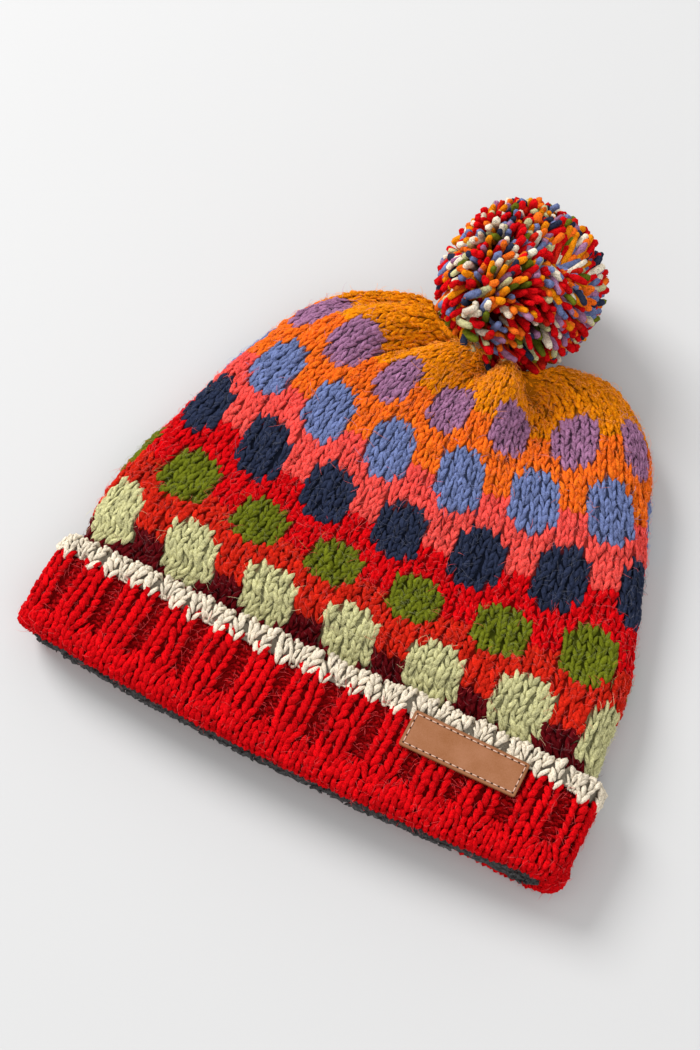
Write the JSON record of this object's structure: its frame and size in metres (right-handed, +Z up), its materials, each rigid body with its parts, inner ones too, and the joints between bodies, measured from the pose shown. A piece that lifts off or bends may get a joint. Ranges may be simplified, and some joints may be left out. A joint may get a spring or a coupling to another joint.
{
  "type": "knitted bobble hat",
  "caption": "Soft knitted hat lying flat, with a ribbed turn-up cuff, a fleece-lined open mouth, a gathered crown, a blank leather label and a round yarn pompom.",
  "frame": {"origin": "middle of the crown's flat underside, on the table it lies on", "axes": "+Y from the open mouth to the pompom, +X across the hat to the label's side, +Z up from the table"},
  "size_m": [0.253, 0.2828, 0.0762],
  "materials": {
    "crown_knit": "brushed wool, rows of spots on bands from burgundy to amber",
    "cuff_knit": "brushed wool, red",
    "edging_knit": "brushed wool, cream",
    "fleece": "matt charcoal fleece",
    "label_leather": "smooth tan leather",
    "pompom_yarn": "cut wool yarn in mixed colours",
    "tie_yarn": "wool yarn, red"
  },
  "bodies": {
    "root": {"crown": "crown_knit", "cuff": "cuff_knit", "cuff_edging": "edging_knit", "lining": "fleece", "label": "label_leather", "pompom": "pompom_yarn", "pompom_tie": "tie_yarn"}
  },
  "joints": []
}
